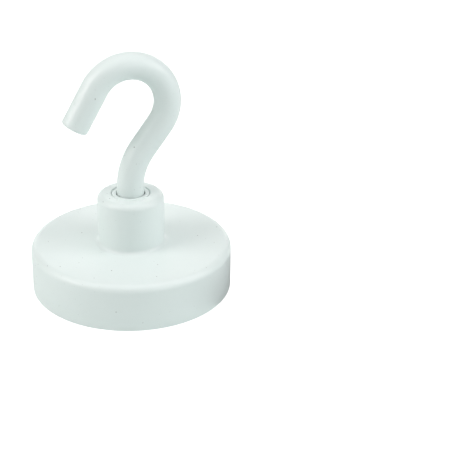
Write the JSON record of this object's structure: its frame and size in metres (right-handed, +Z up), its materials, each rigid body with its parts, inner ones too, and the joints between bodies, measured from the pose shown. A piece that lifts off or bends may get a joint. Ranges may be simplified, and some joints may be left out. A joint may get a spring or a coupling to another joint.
{
  "type": "magnetic swivel hook",
  "caption": "White coated pot magnet with a swivelling question-mark hook in a bushed neck, for hanging loads from steel.",
  "frame": {"origin": "centre of the pot's rim on the contact face", "axes": "+Z runs up the swivel's axis from the contact face, the hook is bent in the XZ plane and its mouth opens towards -X"},
  "size_m": [0.06, 0.06, 0.0729],
  "materials": {
    "coat": "white satin powder coat with a fine texture",
    "nickel": "dark nickel plate, slightly grainy, with bright chamfers",
    "resin": "black potting resin",
    "adhesive": "cured epoxy film",
    "zinc": "bright zinc plate",
    "bronze": "bearing bronze",
    "nylon": "blue nylon"
  },
  "bodies": {
    "base": {"pot": "coat", "magnet": "nickel", "resin_ring": "resin", "adhesive_film": "adhesive", "neck": "coat", "chamber_cover": "zinc", "neck_bush": "coat", "thrust_washer": "bronze"},
    "swivel": {"hook": "coat", "retaining_washer": "zinc", "lock_nut": "zinc", "nut_insert": "nylon"}
  },
  "joints": [
    {"name": "hook_swivel", "type": "hinge", "parent": "base", "child": "swivel", "pos_m": [0, 0, 0], "axis": [0, 0, 1], "continuous": true}
  ]
}
